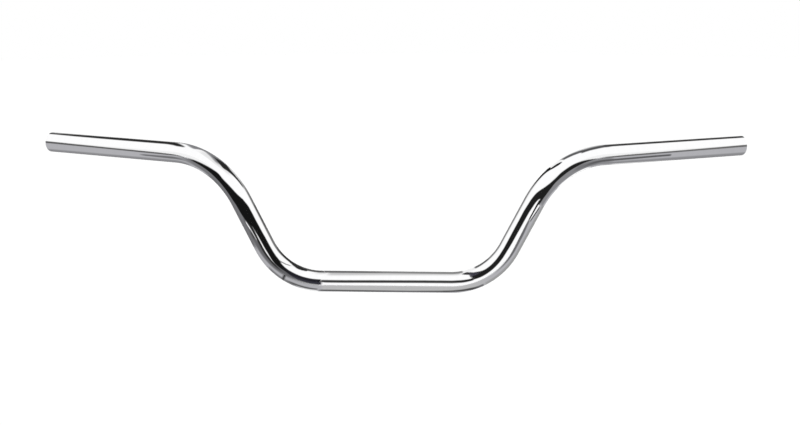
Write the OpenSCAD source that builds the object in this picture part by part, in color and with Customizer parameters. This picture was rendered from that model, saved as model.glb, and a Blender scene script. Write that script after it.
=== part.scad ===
// Motorcycle handlebar: one length of round steel tube with four bends, chrome plated all over.
// Millimetres. The origin is at the middle of the clamp section, on the tube's centreline.
// +X runs along the clamp section, +Y points back towards the rider, and +Z is up.

/* [Tube] */
// Outside diameter of the tube
tube_od = 22.2; // [19:0.1:32]
// Wall thickness of the tube
tube_wall = 2.1; // [1.4:0.1:3.5]
// Width of the bevel on both edges of each cut end
end_bevel = 0.5; // [0.1:0.1:0.6]
// How much the tube's radius draws in where it is bent
bend_draw = 0.01; // [0.01:0.01:0.05]

/* [Clamp section] */
// Straight length in the middle, where the clamps hold the bar
clamp_straight = 137; // [80:1:260]
// Angle that the whole bar is rolled back in its clamps, which levels the grips
roll_back = 12.5; // [0:0.5:30]

/* [Lower bends] */
// Radius of each lower bend, at the tube's centreline
lower_bend_radius = 70; // [45:1:120]
// Angle that each lower bend turns the tube up
lower_bend_angle = 62; // [20:1:85]

/* [Risers] */
// Straight length of each riser, between its two bends
riser_straight = 54; // [10:1:200]
// Angle from the lower bend's plane round to the upper bend's plane, which sweeps the grips back
riser_turn = 26; // [0:1:60]

/* [Upper bends] */
// Radius of each upper bend, at the tube's centreline
upper_bend_radius = 95; // [50:1:150]
// Angle that each upper bend turns the tube out to its grip
upper_bend_angle = 59.5; // [20:0.5:85]

/* [Grips] */
// Straight length of each grip section, out to its cut end
grip_straight = 176; // [110:1:300]

/* [Hidden] */
$fn = 96;
outer_radius = tube_od / 2;
bore_radius = outer_radius - tube_wall;
// How far each straight reaches into the bend that follows or precedes it
seat = 0.05;
// How far the cutters run past the surface that they cut
past = 2;

// A straight rod along +X, reaching into the bends at its ends. What follows starts at its far end
module straight(length, radius) {
    translate([-seat, 0, 0])
        rotate([0, 90, 0])
            cylinder(h = length + 2 * seat, r = radius);
    translate([length, 0, 0])
        children();
}

// A bend from +X up towards +Z. What follows starts at its far end, again along +X
module bend_up(angle, bend_radius, radius) {
    translate([0, 0, bend_radius]) {
        rotate([90, 0, 0])
            rotate_extrude(angle = angle, start = -90)
                translate([bend_radius, 0])
                    circle(r = radius - bend_draw);
        rotate([0, -angle, 0])
            translate([0, 0, -bend_radius])
                children();
    }
}

// Turns the plane of the bend that follows about the tube's own axis
module turn_plane(angle) {
    rotate([angle, 0, 0])
        children();
}

module both_sides() {
    children();
    mirror([1, 0, 0])
        children();
}

// The whole bar as a rod of one radius. What follows is drawn at the end of each grip
module bent_rod(radius) {
    translate([-clamp_straight / 2, 0, 0])
        straight(clamp_straight, radius);
    both_sides()
        translate([clamp_straight / 2, 0, 0])
            bend_up(lower_bend_angle, lower_bend_radius, radius)
                straight(riser_straight, radius)
                    turn_plane(180 + riser_turn)
                        bend_up(upper_bend_angle, upper_bend_radius, radius)
                            straight(grip_straight, radius)
                                children();
}

// Squares off the rod's end at its true length and bevels both of its edges
module end_cutter() {
    rotate([90, 0, 90]) {
        cylinder(h = past, r = outer_radius + past);
        translate([0, 0, -end_bevel - past])
            cylinder(h = end_bevel + past, r1 = bore_radius - past, r2 = bore_radius + end_bevel);
        rotate_extrude()
            polygon([
                [outer_radius - end_bevel, 0],
                [outer_radius + past, 0],
                [outer_radius + past, -end_bevel - past]
            ]);
    }
}

module handlebar() {
    color("gainsboro")
        rotate([-roll_back, 0, 0])
            difference() {
                bent_rod(outer_radius);
                bent_rod(bore_radius)
                    end_cutter();
            }
}

handlebar();
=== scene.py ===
import math

import bmesh
import bpy
from mathutils import Matrix, Vector


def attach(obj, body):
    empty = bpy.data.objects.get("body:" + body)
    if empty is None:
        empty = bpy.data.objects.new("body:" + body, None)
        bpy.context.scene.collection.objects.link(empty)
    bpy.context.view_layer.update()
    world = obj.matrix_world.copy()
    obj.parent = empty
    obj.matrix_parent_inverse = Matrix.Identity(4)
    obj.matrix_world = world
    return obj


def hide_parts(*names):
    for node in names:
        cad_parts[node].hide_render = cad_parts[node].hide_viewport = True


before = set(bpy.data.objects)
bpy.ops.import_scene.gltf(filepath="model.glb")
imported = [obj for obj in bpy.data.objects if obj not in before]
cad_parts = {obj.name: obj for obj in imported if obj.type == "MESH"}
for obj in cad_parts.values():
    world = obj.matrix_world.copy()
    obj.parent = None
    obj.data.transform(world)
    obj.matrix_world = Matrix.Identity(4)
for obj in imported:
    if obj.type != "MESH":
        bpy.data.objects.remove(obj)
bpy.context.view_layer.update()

MM = 0.001

# The handlebar's driving dimensions, in metres and degrees
TUBE_RADIUS = 11.1 * MM
TUBE_WALL = 2.1 * MM
BORE_RADIUS = TUBE_RADIUS - TUBE_WALL
END_BEVEL = 0.5 * MM
CLAMP_STRAIGHT = 137 * MM
ROLL_BACK = 12.5
LOWER_BEND_RADIUS = 70 * MM
LOWER_BEND_ANGLE = 62
RISER_STRAIGHT = 54 * MM
RISER_TURN = 26
UPPER_BEND_RADIUS = 95 * MM
UPPER_BEND_ANGLE = 59.5
GRIP_STRAIGHT = 176 * MM

# How finely the tube is drawn
POINTS_AROUND = 128
DEGREES_PER_RING = 1.0
STRAIGHT_STEP = 20 * MM
# An edge that turns further than this, in degrees, shows as a crisp one
CRISP_EDGE = 25
# Where extra rings lie, as distances from a cut end, for the plating that thins out inside the bore
BORE_RINGS = (1 * MM, 3 * MM, 6 * MM, 10 * MM, 15 * MM, 22 * MM)

# The chrome plate, the hairline across its lower left bend, and how high the tube's waves stand
CHROME_DEEP = (0.86, 0.86, 0.87, 1)
CHROME_BRIGHT = (0.91, 0.91, 0.91, 1)
CHROME_ROUGHNESS = 0.035
MARK_COLOUR = (0.05, 0.05, 0.055, 1)
MARK_PLACE = -106.8 * MM
MARK_SLANT = 0.4 * MM
MARK_WOBBLE = 1.2 * MM
MARK_WIDTH = 2.7 * MM
WAVE_HEIGHT = 0.045 * MM

# The bare drawn steel inside the bore, and the distances from a cut end over which the plating thins out
STEEL_DARK = (0.20, 0.19, 0.18, 1)
STEEL_LIGHT = (0.34, 0.33, 0.32, 1)
STEEL_ROUGHNESS = 0.42
PLATING_THINS = 4 * MM
PLATING_ENDS = 14 * MM
PLATING_EDGE = 3 * MM

# The studio's floor, room and lamp. A full light of 1 shows a colour about as it is written
FLOOR_HEIGHT = -230 * MM
FLOOR_RADIUS = 6.0
FLOOR_SIDES = 64
FLOOR_SHADE = 0.8
FULL_LIGHT = 1.05
ROOM_LIGHT = 0.7
LAMP_SPREAD = 8
LAMP_TILT = 14

# The photograph's view: the camera's place and lens, and the degrees it turns left, looks down and rolls
CAMERA_PLACE = (70.22 * MM, -1153.67 * MM, 331.3 * MM)
CAMERA_LENS = 50.778
CAMERA_SENSOR = 36
CAMERA_LEFT = 2.743
CAMERA_DOWN = 12.486
CAMERA_ROLL = -0.138

# The glowing cards that paint the chrome's reflections: how far they stand from the tube's middle, and past
# its ends
CARD_DISTANCE = 55 * MM
CARD_OVERRUN = 160 * MM
# How finely a card is drawn: the mm from column to column, and the steps across its fading edges and middle
CARD_COLUMN = 2
FEWEST_COLUMNS = 10
FADE_STEPS = 6
MIDDLE_STEPS = 12
# How strongly the fade of a dark card is filled out, and that of a pale one is thinned
FADE_POWER = 2.2
DARK_BELOW = 150
PALE_ABOVE = 200
# The share of a card's light that the chrome gives back
CHROME_SHOWS = 0.88
# The cards' tints, as shares of red, green and blue
NEUTRAL = (1, 1, 1)
LAVENDER = (0.985, 0.983, 1.03)
VIOLET = (0.94, 0.92, 1.24)
# How far along the tube, in mm from its middle, the longest cards reach, past both cut ends
GRIP_CARD_END = 640
GRIP_CARD_START = -GRIP_CARD_END


class Station:
    """A place on the tube's centreline: how far along it lies, and its three directions."""

    def __init__(self, along, place, axes):
        self.along = along
        self.place = place
        self.axes = axes

    @property
    def forward(self):
        return self.axes.col[0]

    @property
    def back(self):
        return self.axes.col[1]

    @property
    def up(self):
        return self.axes.col[2]

    def around(self, degrees):
        """The direction out of the tube at an angle: 0 faces the front and 90 is up."""
        turn = math.radians(degrees)
        return self.up * math.sin(turn) - self.back * math.cos(turn)

    def mirrored(self):
        """The same place on the left half, where forward still runs from left to right."""
        flip = Matrix.Diagonal((-1, 1, 1))
        axes = flip @ self.axes
        axes.col[0] = -axes.col[0]
        return Station(-self.along, flip @ self.place, axes)


class Centreline:
    """Walks along the tube from its middle and keeps a station at every ring."""

    def __init__(self):
        axes = Matrix.Rotation(math.radians(-ROLL_BACK), 3, "X")
        self.stations = [Station(0.0, Vector((0, 0, 0)), axes)]

    @property
    def end(self):
        return self.stations[-1]

    def straight(self, length, stops=()):
        """Goes straight on, with even steps and a station at each stop as well."""
        start = self.end
        steps = math.ceil(length / STRAIGHT_STEP)
        for done in sorted({length * i / steps for i in range(1, steps + 1)} | set(stops)):
            place = start.place + start.forward * done
            self.stations.append(Station(start.along + done, place, start.axes.copy()))

    def bend(self, radius, angle, plane=0.0):
        """Turns towards up, or towards the side that lies a plane angle round from it."""
        start = self.end
        inward = Matrix.Rotation(math.radians(plane), 3, start.forward) @ start.up
        centre = start.place + inward * radius
        axle = start.forward.cross(inward)
        steps = math.ceil(angle / DEGREES_PER_RING)
        for i in range(1, steps + 1):
            turned = math.radians(angle) * i / steps
            spin = Matrix.Rotation(turned, 3, axle)
            place = centre - spin @ inward * radius
            self.stations.append(Station(start.along + radius * turned, place, spin @ start.axes))


def handlebar_line(overrun=0.0):
    """Every station from the left cut end to the right one, and past them by the overrun."""
    line = Centreline()
    line.straight(CLAMP_STRAIGHT / 2)
    line.bend(LOWER_BEND_RADIUS, LOWER_BEND_ANGLE)
    line.straight(RISER_STRAIGHT)
    line.bend(UPPER_BEND_RADIUS, UPPER_BEND_ANGLE, 180 + RISER_TURN)
    line.straight(GRIP_STRAIGHT, stops=[GRIP_STRAIGHT - d for d in (END_BEVEL, *BORE_RINGS)])
    if overrun:
        line.straight(overrun)
    left = [station.mirrored() for station in reversed(line.stations[1:])]
    return left + line.stations


def tube_mesh():
    """The tube as one closed mesh: its outside, its true bore and both bevelled ends."""
    line = handlebar_line()
    tube = bmesh.new()
    along = tube.verts.layers.float.new("along")
    rise = tube.verts.layers.float.new("rise")
    front = tube.verts.layers.float.new("front")
    depth = tube.verts.layers.float.new("depth")

    def ring(station, radius, in_bore=False):
        points = []
        for i in range(POINTS_AROUND):
            degrees = 360 * i / POINTS_AROUND
            point = tube.verts.new(station.place + station.around(degrees) * radius)
            point[along] = station.along
            point[rise] = math.sin(math.radians(degrees))
            point[front] = math.cos(math.radians(degrees))
            point[depth] = line[-1].along - abs(station.along) if in_bore else 0
            points.append(point)
        return points

    def cut_end(station):
        return [ring(station, TUBE_RADIUS - END_BEVEL), ring(station, BORE_RADIUS + END_BEVEL)]

    def skin(rings):
        for one, two in zip(rings, rings[1:]):
            for i in range(POINTS_AROUND):
                j = (i + 1) % POINTS_AROUND
                tube.faces.new((one[i], two[i], two[j], one[j])).smooth = True

    outside = [ring(station, TUBE_RADIUS) for station in line[1:-1]]
    bore = [ring(station, BORE_RADIUS, in_bore=True) for station in line[1:-1]]
    left_outer, left_inner = cut_end(line[0])
    right_outer, right_inner = cut_end(line[-1])
    skin([left_inner, left_outer, *outside, right_outer, right_inner, *reversed(bore), left_inner])
    bmesh.ops.recalc_face_normals(tube, faces=tube.faces)
    for edge in tube.edges:
        if edge.calc_face_angle() > math.radians(CRISP_EDGE):
            edge.smooth = False
    mesh = bpy.data.meshes.new("handlebar_tube")
    tube.to_mesh(mesh)
    tube.free()
    return mesh


class Wire:
    """One output of a node. An expression on wires adds its Math nodes."""

    def __init__(self, tree, socket):
        self.tree = tree
        self.socket = socket

    def other(self, name):
        """Another output of the same node."""
        return Wire(self.tree, self.socket.node.outputs[name])

    def math(self, operation, *values):
        return self.tree.add("Math", {"operation": operation}, dict(enumerate((self, *values))))

    def __add__(self, value):
        return self.math("ADD", value)

    __radd__ = __add__

    def __mul__(self, value):
        return self.math("MULTIPLY", value)

    __rmul__ = __mul__

    def __sub__(self, value):
        return self.math("SUBTRACT", value)

    def __rsub__(self, value):
        return (self * -1) + value

    def above(self, start, end):
        """0 below start and 1 past end, with a smooth rise between them."""
        sockets = {"Value": self, "From Min": start, "From Max": end}
        return self.tree.add("MapRange", {"interpolation_type": "SMOOTHSTEP"}, sockets)

    def near(self, value, reach):
        """1 at a value, falling smoothly to 0 at a reach from it."""
        return 1 - (self - value).math("ABSOLUTE").above(0, reach)


class Shading:
    """The nodes of one material or world."""

    def __init__(self, owner):
        owner.use_nodes = True
        self.nodes = owner.node_tree.nodes
        self.links = owner.node_tree.links
        self.nodes.clear()

    def add(self, kind, settings=None, sockets=None, output=0):
        """Any node: its type, its settings, and the values or wires of its sockets. Gives one output."""
        node = self.nodes.new("ShaderNode" + kind)
        for name, value in (settings or {}).items():
            setattr(node, name, value)
        for name, value in (sockets or {}).items():
            if isinstance(value, Wire):
                self.links.new(value.socket, node.inputs[name])
            else:
                node.inputs[name].default_value = value
        return Wire(self, node.outputs[output]) if node.outputs else None

    def attribute(self, name):
        """A value that every point of the mesh holds."""
        return self.add("Attribute", {"attribute_name": name}, output="Fac")

    def noise(self, x, y, z, detail):
        """Smooth noise from 0 to 1 over three values."""
        place = self.add("CombineXYZ", sockets={"X": x, "Y": y, "Z": z})
        return self.add("TexNoise", sockets={"Vector": place, "Scale": 1, "Detail": detail})

    def blend(self, amount, one, two):
        """A colour between two colours, which a Mix node takes in sockets 6 and 7 and gives in output 2."""
        return self.add("Mix", {"data_type": "RGBA"}, {0: amount, 6: one, 7: two}, output=2)


def grey(level, tint=NEUTRAL):
    """A colour that shows as this level, from 0 to 255, on the screen."""
    value = level / 255
    linear = value / 12.92 if value <= 0.04045 else ((value + 0.055) / 1.055) ** 2.4
    return (*[linear * share for share in tint], 1)


def chrome():
    """Bright chrome plate over drawn steel tube. Inside the bore the plate thins out to bare steel."""
    material = bpy.data.materials.new("chrome plate")
    tree = Shading(material)
    along = tree.attribute("along")
    rise = tree.attribute("rise")
    front = tree.attribute("front")
    depth = tree.attribute("depth")

    def grain(per_metre, around, detail):
        """Noise that changes this many times in a metre of tube, and this many times across it."""
        return tree.noise(along * per_metre, rise * around, front * around, detail)

    # Faint rings that the polishing wheel left round the tube, its slight waviness, and a haze in patches
    rings = grain(per_metre=260, around=0.9, detail=3)
    fine_rings = grain(per_metre=1400, around=2, detail=2)
    waves = grain(per_metre=130, around=1.4, detail=3)
    haze = grain(per_metre=22, around=3, detail=4).above(0.45, 0.75)

    # The hairline that crosses the lower left bend, from its front down to its underside
    wobble = (grain(per_metre=0, around=6, detail=2) - 0.5) * MARK_WOBBLE
    crossing = (along + rise * MARK_SLANT + wobble).near(MARK_PLACE, MARK_WIDTH)
    on_the_front = front.above(-0.45, -0.2)
    below_the_middle = 1 - rise.above(-0.38, -0.28)
    hairline = crossing * on_the_front * below_the_middle

    # Bare drawn steel past the mouth of the bore
    bare = (depth + rings * PLATING_EDGE).above(PLATING_THINS, PLATING_ENDS)
    lines = grain(per_metre=12, around=46, detail=3)
    inside = depth.above(0, END_BEVEL)

    shine = tree.blend(rings, CHROME_DEEP, CHROME_BRIGHT)
    plated = tree.blend(hairline, shine, MARK_COLOUR)
    steel = tree.blend(lines, STEEL_DARK, STEEL_LIGHT)
    colour = tree.blend(bare, plated, steel)
    smooth = CHROME_ROUGHNESS + fine_rings * 0.02 + haze * 0.03 + hairline * 0.4 + inside * 0.12
    roughness = smooth * (1 - bare) + (STEEL_ROUGHNESS + lines * 0.25) * bare
    metallic = 1 - hairline * 0.5 - bare * 0.15
    height = waves + fine_rings * 0.02 - hairline * 2 + lines * bare * 2
    bump = tree.add("Bump", sockets={"Strength": 1, "Distance": WAVE_HEIGHT, "Height": height})
    surface = {"Base Color": colour, "Metallic": metallic, "Roughness": roughness, "Normal": bump}
    shader = tree.add("BsdfPrincipled", sockets=surface)
    tree.add("OutputMaterial", sockets={"Surface": shader})
    return material


def seen_rays(tree):
    """1 for what the camera sees, straight or in metal and glass, and 0 for light that falls on things."""
    straight = tree.add("LightPath", output="Is Camera Ray")
    in_metal = straight.other("Is Glossy Ray")
    in_glass = straight.other("Is Transmission Ray")
    return straight.math("MAXIMUM", in_metal).math("MAXIMUM", in_glass)


def studio_world():
    """A white room. A little less light comes from it than it shows, to leave the rest to the lamp."""
    world = bpy.data.worlds.new("white room")
    bpy.context.scene.world = world
    tree = Shading(world)
    strength = ROOM_LIGHT + seen_rays(tree) * (1 - ROOM_LIGHT)
    light = tree.add("Background", sockets={"Color": (1, 1, 1, 1), "Strength": strength})
    tree.add("OutputWorld", sockets={"Surface": light})


def lamp():
    """One soft lamp, high up and a little behind the bar, so that the shadow falls under it and forward."""
    data = bpy.data.lights.new("soft lamp", "SUN")
    data.energy = math.pi * (FULL_LIGHT - ROOM_LIGHT) / math.cos(math.radians(LAMP_TILT))
    data.angle = math.radians(LAMP_SPREAD)
    body = bpy.data.objects.new("soft lamp", data)
    bpy.context.scene.collection.objects.link(body)
    body.rotation_euler = (math.radians(-LAMP_TILT), 0, 0)
    body.visible_glossy = False


def card_paint(name, colour):
    """A glowing surface for a painted reflection, seen only from the tube's side, that fades out at the
    card's soft edges.
    """
    material = bpy.data.materials.new(name)
    tree = Shading(material)
    glow = tree.add("Emission", sockets={"Color": colour, "Strength": 1 / CHROME_SHOWS})
    clear = tree.add("BsdfTransparent")
    far_side = tree.add("NewGeometry", output="Backfacing")
    cover = tree.attribute("cover") * (1 - far_side)
    mixed = tree.add("MixShader", sockets={0: cover, 1: clear, 2: glow})
    tree.add("OutputMaterial", sockets={"Surface": mixed})
    return material


def smooth_step(x):
    x = min(max(x, 0), 1)
    return x * x * (3 - 2 * x)


def fade(x, start, end, start_width, end_width):
    """1 well inside a stretch, falling smoothly to 0 at its start and its end."""
    return min(smooth_step((x - start) / start_width), smooth_step((end - x) / end_width))


def card_cover(share, level):
    """How much a card covers. A dark one is filled out and a pale one thinned, to even out their fades."""
    if level < DARK_BELOW:
        return 1 - (1 - share) ** FADE_POWER
    if level > PALE_ABOVE:
        return share**FADE_POWER
    return share


def along_curve(points, x):
    """The value at x of a smooth curve through points (x, value). It never swings past them."""
    if x <= points[0][0]:
        return points[0][1]
    if x > points[-1][0]:
        return points[-1][1]

    def slope(j):
        if j == 0 or j == len(points) - 1:
            return 0
        before = (points[j][1] - points[j - 1][1]) / (points[j][0] - points[j - 1][0])
        after = (points[j + 1][1] - points[j][1]) / (points[j + 1][0] - points[j][0])
        return 0 if before * after <= 0 else 2 * before * after / (before + after)

    i = next(i for i, point in enumerate(points[1:]) if x <= point[0])
    (x0, y0), (x1, y1) = points[i], points[i + 1]
    t = (x - x0) / (x1 - x0)
    rising = 3 * t**2 - 2 * t**3
    leaving = (t**3 - 2 * t**2 + t) * slope(i) * (x1 - x0)
    arriving = (t**3 - t**2) * slope(i + 1) * (x1 - x0)
    return y0 * (1 - rising) + y1 * rising + leaving + arriving


CARD_LINE = handlebar_line(CARD_OVERRUN)


def card_station(along):
    """The station at a distance along the tube, between the two that are kept."""
    for one, two in zip(CARD_LINE, CARD_LINE[1:]):
        if along <= two.along:
            break
    t = (along - one.along) / (two.along - one.along)
    axes = Matrix([one.axes[i] * (1 - t) + two.axes[i] * t for i in range(3)])
    return Station(along, one.place.lerp(two.place, t), axes)


def card_angles(low, high, low_width, high_width):
    """The angles of the points across a card, closer together where it fades."""
    bottom, top = low - low_width / 2, high + high_width / 2
    inner_low, inner_high = low + low_width / 2, high - high_width / 2
    if inner_low > inner_high:
        inner_low = inner_high = (low + high) / 2
    angles = []
    for start, end, steps in (
        (bottom, inner_low, FADE_STEPS),
        (inner_low, inner_high, MIDDLE_STEPS),
        (inner_high, top, FADE_STEPS),
    ):
        angles += [start + (end - start) * k / steps for k in range(steps)]
    return [*angles, top]


def card(name, level, outline, soft, tint=NEUTRAL, layer=0):
    """A card that follows the tube in front of it and shows as a level from 0 to 255. Its outline is a list
    of (mm along the tube, lowest angle, highest angle), and soft holds how wide its start, end, low and
    high edges fade. A higher layer stands that many mm nearer the tube, and so in front of the others."""
    start_width, end_width, low_width, high_width = soft
    lows = [(place, low) for place, low, high in outline]
    highs = [(place, high) for place, low, high in outline]
    first = outline[0][0] - start_width / 2
    last = outline[-1][0] + end_width / 2
    columns = max(FEWEST_COLUMNS, math.ceil((last - first) / CARD_COLUMN))
    sheet = bmesh.new()
    cover = sheet.verts.layers.float.new("cover")
    rows = []
    for i in range(columns + 1):
        place = first + (last - first) * i / columns
        station = card_station(place * MM)
        lengthwise = fade(place, first, last, start_width, end_width)
        angles = card_angles(along_curve(lows, place), along_curve(highs, place), low_width, high_width)
        row = []
        for angle in angles:
            across = fade(angle, angles[0], angles[-1], low_width, high_width)
            point = sheet.verts.new(station.place + station.around(angle) * (CARD_DISTANCE - layer * MM))
            point[cover] = card_cover(lengthwise * across, level)
            row.append(point)
        rows.append(row)
    for one, two in zip(rows, rows[1:]):
        for k in range(len(one) - 1):
            sheet.faces.new((one[k], one[k + 1], two[k + 1], two[k])).smooth = True
    mesh = bpy.data.meshes.new(name)
    sheet.to_mesh(mesh)
    sheet.free()
    mesh.materials.append(card_paint(name, grey(level, tint)))
    piece = bpy.data.objects.new(name, mesh)
    bpy.context.scene.collection.objects.link(piece)
    # Hidden from the camera, from diffuse light and from shadows: only the chrome shows the card, as a
    # painted reflection.
    piece.visible_camera = False
    piece.visible_diffuse = False
    piece.visible_shadow = False
    piece.visible_transmission = False


def under_cards():
    """Painted reflections below the bar: a grey board along all of it, and its darker and paler stretches.
    """
    card(
        "under_board", 176,
        [
            (GRIP_CARD_START, -172, -20), (-400, -172, -31), (-320, -172, -41), (-200, -172, -40),
            (-75, -172, -39), (60, -172, -38), (200, -172, -38), (320, -172, -40), (400, -172, -32),
            (GRIP_CARD_END, -172, -20),
        ],
        (1, 1, 8, 20), LAVENDER,
    )
    card("clamp_under", 184, [(-71, -100, -36), (100, -100, -36)], (2, 30, 20, 16), layer=1)
    card(
        "clamp_dark", 88,
        [(-73, -126, -99), (-20, -134, -101), (20, -126, -103), (66, -120, -94)],
        (4, 8, 20, 22), layer=2,
    )
    card(
        "left_grip_under", 137,
        [(GRIP_CARD_START, -172, -110), (-322, -172, -110)],
        (1, 10, 6, 34), LAVENDER, layer=1,
    )
    card(
        "right_grip_under", 138,
        [(322, -130, -104), (500, -172, -104), (GRIP_CARD_END, -172, -104)],
        (6, 1, 20, 34), LAVENDER, layer=1,
    )
    card("left_grip_shade", 110, [(-370, -78, -64), (-322, -86, -62)], (10, 20, 12, 12), LAVENDER, layer=1)
    card(
        "right_grip_shade", 90,
        [(306, -87, -68), (340, -83, -64), (402, -74, -57)],
        (14, 3, 14, 12), LAVENDER, layer=2,
    )
    card("right_grip_edge", 240, [(332, -172, -140), (420, -172, -152)], (8, 30, 4, 14), layer=2)
    card(
        "left_bend_under", 120,
        [(-314, -104, -46), (-186, -112, -48), (-152, -116, -60)],
        (20, 24, 40, 8), LAVENDER, layer=1,
    )
    card("left_riser_under", 112, [(-292, -172, -96), (-150, -172, -96)], (30, 8, 6, 36), LAVENDER, layer=2)
    card("left_riser_foot", 168, [(-149, -172, -96), (-124, -172, -96)], (8, 4, 6, 30), LAVENDER, layer=3)
    card("right_riser_under", 152, [(102, -172, -92), (206, -172, -92)], (3, 4, 6, 30), layer=1)
    card("left_foot_under", 122, [(-126, -172, -96), (-97, -172, -96)], (4, 6, 6, 30), LAVENDER, layer=3)
    card("left_foot_light", 228, [(-92, -172, -118), (-76, -172, -112)], (6, 2, 6, 10), layer=3)
    card(
        "left_foot_dark", 82,
        [(-102, -104, -84), (-88, -104, -84), (-75, -98, -86)],
        (12, 2, 10, 24), layer=4,
    )
    card(
        "right_foot_dark", 70,
        [(62, -110, -94), (76, -112, -86), (86, -120, -88), (92, -126, -94)],
        (10, 8, 20, 24), layer=4,
    )
    card("right_foot_tail", 106, [(88, -160, -98), (100, -160, -98)], (8, 2, 10, 24), LAVENDER, layer=3)
    card("right_bend_under", 136, [(205, -100, -48), (326, -120, -44)], (6, 14, 30, 8), LAVENDER, layer=1)
    card(
        "right_bend_turn", 116,
        [(284, -76, -54), (300, -90, -58), (316, -104, -66)],
        (16, 12, 24, 14), LAVENDER, layer=1.5,
    )
    card("right_bend_light", 252, [(250, -172, -124), (312, -172, -118)], (14, 3, 6, 16), layer=2)


def upper_cards():
    """Painted reflections above and behind the bar: one pale light over all of it, and grey boards along
    its far side.
    """
    card("top_light", 253, [(GRIP_CARD_START, -12, 96), (GRIP_CARD_END, -12, 96)], (1, 1, 10, 10))
    card("clamp_top", 194, [(-66, 66, 106), (0, 76, 106), (81, 84, 106)], (8, 4, 38, 4), layer=1)
    card("clamp_board", 132, [(-75, 107, 168), (0, 106, 168), (83, 103, 168)], (1, 2, 16, 4), layer=2)
    card("clamp_board_shade", 104, [(-75, 104, 150), (-16, 106, 150)], (1, 40, 16, 30), layer=3)
    card("left_grip_board", 150, [(GRIP_CARD_START, 116, 160), (-414, 116, 160)], (1, 20, 20, 10), layer=1)
    card("left_grip_back", 112, [(-418, 116, 160), (-330, 116, 160)], (20, 10, 20, 10), layer=2)
    card("left_foot_board", 88, [(-142, 105, 168), (-75, 104, 168)], (3, 1, 18, 4), layer=2)
    card("left_riser_board", 116, [(-216, 110, 168), (-140, 104, 168)], (36, 3, 14, 4), layer=1)
    card("left_riser_dark", 88, [(-192, 118, 160), (-164, 118, 160)], (2, 12, 16, 30), layer=3)
    card(
        "left_foot_peak", 44,
        [
            (-134, 120, 150), (-126, 106, 150), (-119, 86, 140), (-113, 77, 126), (-108, 80, 124),
            (-104, 95, 121), (-101, 110, 119),
        ],
        (6, 6, 14, 30), layer=4,
    )
    card("left_foot_top", 222, [(-100, 72, 104), (-68, 76, 104)], (10, 3, 26, 6), layer=0.5)
    card(
        "left_bend_board", 128,
        [
            (-330, 122, 168), (-312, 112, 168), (-298, 88, 168), (-290, 76, 168), (-281, 106, 168),
            (-270, 90, 168), (-253, 62, 168),
        ],
        (10, 10, 30, 4), LAVENDER, layer=1,
    )
    card(
        "left_bend_glaze", 228,
        [(-284, 52, 92), (-256, 36, 92), (-232, 46, 92)],
        (20, 16, 24, 10), layer=0.5,
    )
    card("left_bend_haze", 206, [(-256, 126, 168), (-214, 122, 168)], (8, 20, 16, 4), layer=0.5)
    card(
        "left_bend_peak", 38,
        [
            (-262, 90, 108), (-256, 80, 122), (-250, 68, 132), (-244, 62, 124), (-239, 72, 114),
            (-230, 86, 114), (-215, 96, 112),
        ],
        (14, 8, 12, 24), layer=4,
    )
    card("left_foot_thread", 120, [(-126, 34, 44), (-122, 42, 60), (-119, 54, 74)], (2, 2, 8, 10), layer=4)
    card(
        "right_bend_top", 74,
        [(281, 58, 92), (300, 60, 94), (326, 70, 104)],
        (2, 6, 16, 54), LAVENDER, layer=3,
    )
    card("right_foot_board", 92, [(99, 106, 150), (118, 114, 150)], (2, 6, 18, 30), layer=3)
    card(
        "right_riser_board", 132,
        [(99, 108, 168), (150, 112, 168), (240, 110, 168)],
        (2, 2, 16, 4), layer=1,
    )
    card(
        "right_bend_edge", 28,
        [(222, 112, 140), (233, 106, 148), (240, 96, 162), (244, 104, 170), (248, 138, 170)],
        (20, 3, 14, 12), layer=3,
    )
    card(
        "right_bend_peak", 24,
        [(239, 90, 108), (243, 79, 104), (247, 70, 98), (252, 65, 93), (256, 68, 84)],
        (3, 3, 6, 8), layer=4,
    )
    card(
        "right_bend_board", 88,
        [(260, 84, 118), (270, 77, 116), (284, 68, 104)],
        (1, 14, 14, 46), LAVENDER, layer=2,
    )


def clamp_cards():
    """Painted reflections in front of the clamp section: a bright strip under a soft dark band with a thin
    black core.
    """
    card("clamp_front", 254, [(-72, -37, -5), (206, -36, -4)], (1.5, 3, 14, 10), layer=3)
    card(
        "clamp_band", 82,
        [
            (-73.5, -5, 13), (-67, -10, 13), (-60, -10, 13), (0, -6, 17), (60, -3, 20), (74, -3, 20),
            (80, -6, 17), (86, -8, 12), (93, -8, 8),
        ],
        (2, 4, 12, 14), layer=5,
    )
    card(
        "clamp_core", 18,
        [
            (-76, -2, 4), (-60, -1, 4.5), (0, 2.6, 7.8), (40, 7.4, 12.2), (60, 8.5, 14), (72, 8, 15),
            (80, 2, 13), (86, -5, 10), (92, -10, 8),
        ],
        (2, 3, 3, 3), layer=6,
    )


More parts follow.
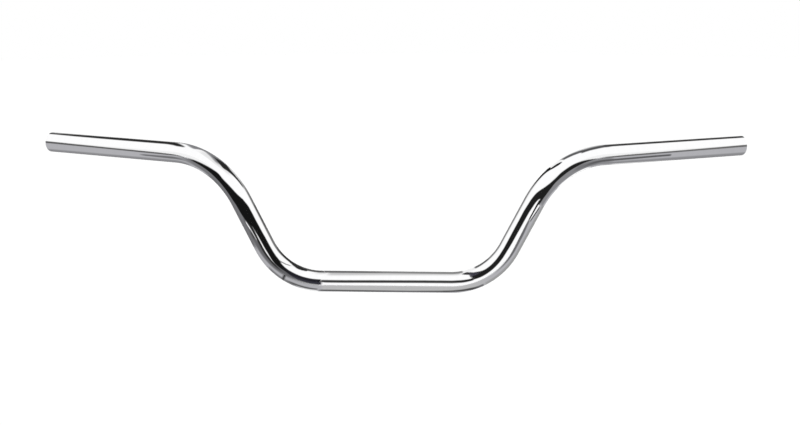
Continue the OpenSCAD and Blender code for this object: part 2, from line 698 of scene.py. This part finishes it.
def left_flag_cards():
    """Painted reflections of the long black flag in front of the left riser and its bends, and of what lies
    inside its curve.
    """
    card(
        "left_flag", 20,
        [
            (-299, -54, -37), (-290, -57, -35), (-270, -62, -27), (-256, -67, -18), (-247, -69, -13),
            (-237, -71, -20), (-225, -72, -13), (-215, -71, -4), (-208, -68, 8), (-203, -63, 21),
            (-198, -60, 36), (-191, -57, 46), (-182, -48, 47), (-176, -33, 47), (-170, -10, 48),
            (-163, -6, 49), (-154, -3, 52), (-146, -1, 53), (-139, -1, 49), (-133, -6, 44), (-126, -12, 38),
            (-120, -12, 23), (-110, -8, 17), (-95, -5, 16), (-82, -5, 17), (-74, -4, 18),
        ],
        (16, 1.5, 12, 12), layer=4,
    )
    card(
        "left_flag_hem", 52,
        [(-108, -17, -2), (-96, -24, 0), (-76, -29, 0), (-71, -33, -14)],
        (12, 1.5, 8, 4), VIOLET, layer=3,
    )
    card(
        "left_flag_tail", 36,
        [(-112, 0, 12), (-95, -2, 12), (-74, -3, 13)],
        (20, 1.5, 12, 10), VIOLET, layer=5,
    )
    card(
        "left_shade", 100,
        [
            (-182, -64, -12), (-150, -68, -12), (-130, -60, -8), (-110, -46, -4), (-95, -36, -6),
            (-73, -32, -10),
        ],
        (6, 2, 36, 6), LAVENDER, layer=2,
    )
    card(
        "left_streak", 42,
        [(-180, -35, -14), (-165, -33, -15), (-150, -33, -14), (-134, -33, -15), (-120, -34, -22)],
        (6, 18, 14, 5), layer=3.5,
    )
    card(
        "left_gleam", 246,
        [(-164, -15, -6), (-152, -15, -1), (-142, -15, 0), (-133, -18, -7), (-126, -21, -13)],
        (8, 8, 5, 4), layer=3,
    )
    card("left_gleam_tail", 150, [(-175, -15, -6), (-160, -15, -6)], (5, 4, 5, 5), layer=3)
    card("left_spark", 252, [(-179, -56, -46), (-168, -50, -38)], (4, 4, 7, 7), layer=3)
    card("left_spark_two", 232, [(-169, -45, -36), (-155, -40, -31)], (4, 4, 7, 7), layer=2.5)
    card("left_spark_end", 64, [(-165, -60, -50), (-158, -58, -48)], (5, 3, 8, 8), layer=3)


def right_flag_cards():
    """Painted reflections of the black flag in front of the right riser and its bends, and of the small
    lights at its foot.
    """
    card(
        "right_flag", 30,
        [
            (91, -2, 70), (94, -5, 58), (99, -9, 52), (104, -10, 40), (110, -9, 34), (116, -7, 35),
            (124, -2, 40), (132, 3, 46), (140, 7, 50), (150, 4, 50), (160, 3, 51), (175, 2, 51),
            (186, 1, 52), (195, -4, 47), (203, -13, 41), (207, -22, 36), (210, -52, 31), (214, -57, 22),
            (219, -58, 7), (225, -57, -6), (232, -54, -15), (240, -49, -18), (250, -48, -13),
            (265, -46, -12), (280, -45, -19), (292, -43, -29), (304, -42, -37),
        ],
        (1, 10, 10, 12), layer=4,
    )
    card("right_foot", 30, [(201, -54, -36), (212, -57, -30)], (2, 2, 6, 8), layer=5)
    card(
        "right_flag_heel", 62,
        [(91, 28, 78), (95, 30, 62), (100, 28, 46)],
        (2, 8, 16, 12), VIOLET, layer=5,
    )
    card(
        "right_shade", 104,
        [(126, -56, -43), (146, -60, -39), (162, -58, -34), (180, -46, -30)],
        (28, 3, 16, 8), LAVENDER, layer=4,
    )
    card("right_toe", 26, [(181, -40, -28), (194, -42, -28), (206, -47, -28)], (3, 2, 4, 4), layer=4)
    card("right_gleam", 248, [(182, -48, -41), (190, -56, -43), (201, -63, -45)], (3, 2, 5, 5), layer=5)
    card("right_streak", 46, [(181, -60, -52), (190, -68, -58), (198, -76, -66)], (3, 4, 7, 7), layer=4)
    card(
        "right_spike", 52,
        [(82, 74, 88), (85, 68, 92), (86, 64, 95), (88, 60, 94), (91, 53, 83), (94, 48, 68), (98, 43, 58)],
        (2, 2, 6, 8), LAVENDER, layer=4,
    )


def grip_cards():
    """Painted reflections along both grips: a soft dark line low on the front, and a dark band on the top.
    """
    right_line = [
        (318, -46, -36), (350, -43, -31), (400, -38, -26), (460, -33, -19), (514, -29, -13),
        (GRIP_CARD_END, -29, -13),
    ]
    left_line = [(-place, low, high) for place, low, high in reversed(right_line)]
    left_top = [
        (GRIP_CARD_START, 86, 104), (-512, 84, 108), (-470, 78, 115), (-400, 74, 118), (-340, 73, 116),
        (-327, 64, 106), (-318, 56, 90), (-309, 56, 74), (-303, 57, 66),
    ]
    right_top = [(320, 72, 104), (326, 75, 112), (345, 77, 114), (GRIP_CARD_END, 78, 112)]
    card("left_grip_line", 84, left_line, (1, 30, 12, 12), layer=3)
    card("left_grip_top", 36, left_top, (1, 5, 18, 26), layer=3)
    card("right_grip_line", 96, right_line, (30, 1, 12, 12), layer=3)
    card("right_grip_top", 50, right_top, (3, 1, 16, 30), layer=3)


def back_card():
    """A dark band behind the whole bar, on the side that the photograph doesn't show."""
    # A painted reflection: a dark glowing sheet that only the chrome shows.
    card("back_band", 34, [(GRIP_CARD_START, 186, 200), (GRIP_CARD_END, 186, 200)], (1, 1, 8, 10), layer=5)


def cards():
    """All the painted reflections that the chrome mirrors, apart from the white room and the floor."""
    under_cards()
    upper_cards()
    clamp_cards()
    left_flag_cards()
    right_flag_cards()
    grip_cards()
    back_card()


def floor():
    """A round pale floor, well below the bar. It glows a little, so it shows white around the shadow."""
    disc = bmesh.new()
    bmesh.ops.create_circle(disc, cap_ends=True, radius=FLOOR_RADIUS, segments=FLOOR_SIDES)
    bmesh.ops.translate(disc, verts=disc.verts, vec=(0, 0, FLOOR_HEIGHT))
    mesh = bpy.data.meshes.new("floor")
    disc.to_mesh(mesh)
    disc.free()
    material = bpy.data.materials.new("pale floor")
    tree = Shading(material)
    matt = tree.add("BsdfDiffuse", sockets={"Color": (FLOOR_SHADE, FLOOR_SHADE, FLOOR_SHADE, 1)})
    lift = seen_rays(tree) * (1 - FLOOR_SHADE)
    glow = tree.add("Emission", sockets={"Color": (1, 1, 1, 1), "Strength": lift})
    shown = tree.add("AddShader", sockets={0: matt, 1: glow})
    clear = tree.add("BsdfTransparent")
    from_below = tree.add("NewGeometry", output="Backfacing")
    surface = tree.add("MixShader", sockets={0: from_below, 1: shown, 2: clear})
    tree.add("OutputMaterial", sockets={"Surface": surface})
    mesh.materials.append(material)
    piece = bpy.data.objects.new("floor", mesh)
    bpy.context.scene.collection.objects.link(piece)


def camera():
    """The photograph's view."""
    data = bpy.data.cameras.new("camera")
    data.lens = CAMERA_LENS
    data.sensor_width = CAMERA_SENSOR
    body = bpy.data.objects.new("camera", data)
    bpy.context.scene.collection.objects.link(body)
    left = Matrix.Rotation(math.radians(CAMERA_LEFT), 4, "Z")
    down = Matrix.Rotation(math.radians(90 - CAMERA_DOWN), 4, "X")
    roll = Matrix.Rotation(math.radians(CAMERA_ROLL), 4, "Z")
    body.matrix_world = Matrix.Translation(CAMERA_PLACE) @ left @ down @ roll
    bpy.context.scene.camera = body


bpy.context.scene.view_settings.view_transform = "Standard"
camera()
studio_world()
lamp()
floor()
cards()
bar = bpy.data.objects.new("handlebar_tube", tube_mesh())
bpy.context.scene.collection.objects.link(bar)
bar.data.materials.append(chrome())
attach(bar, "root")
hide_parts("handlebar")
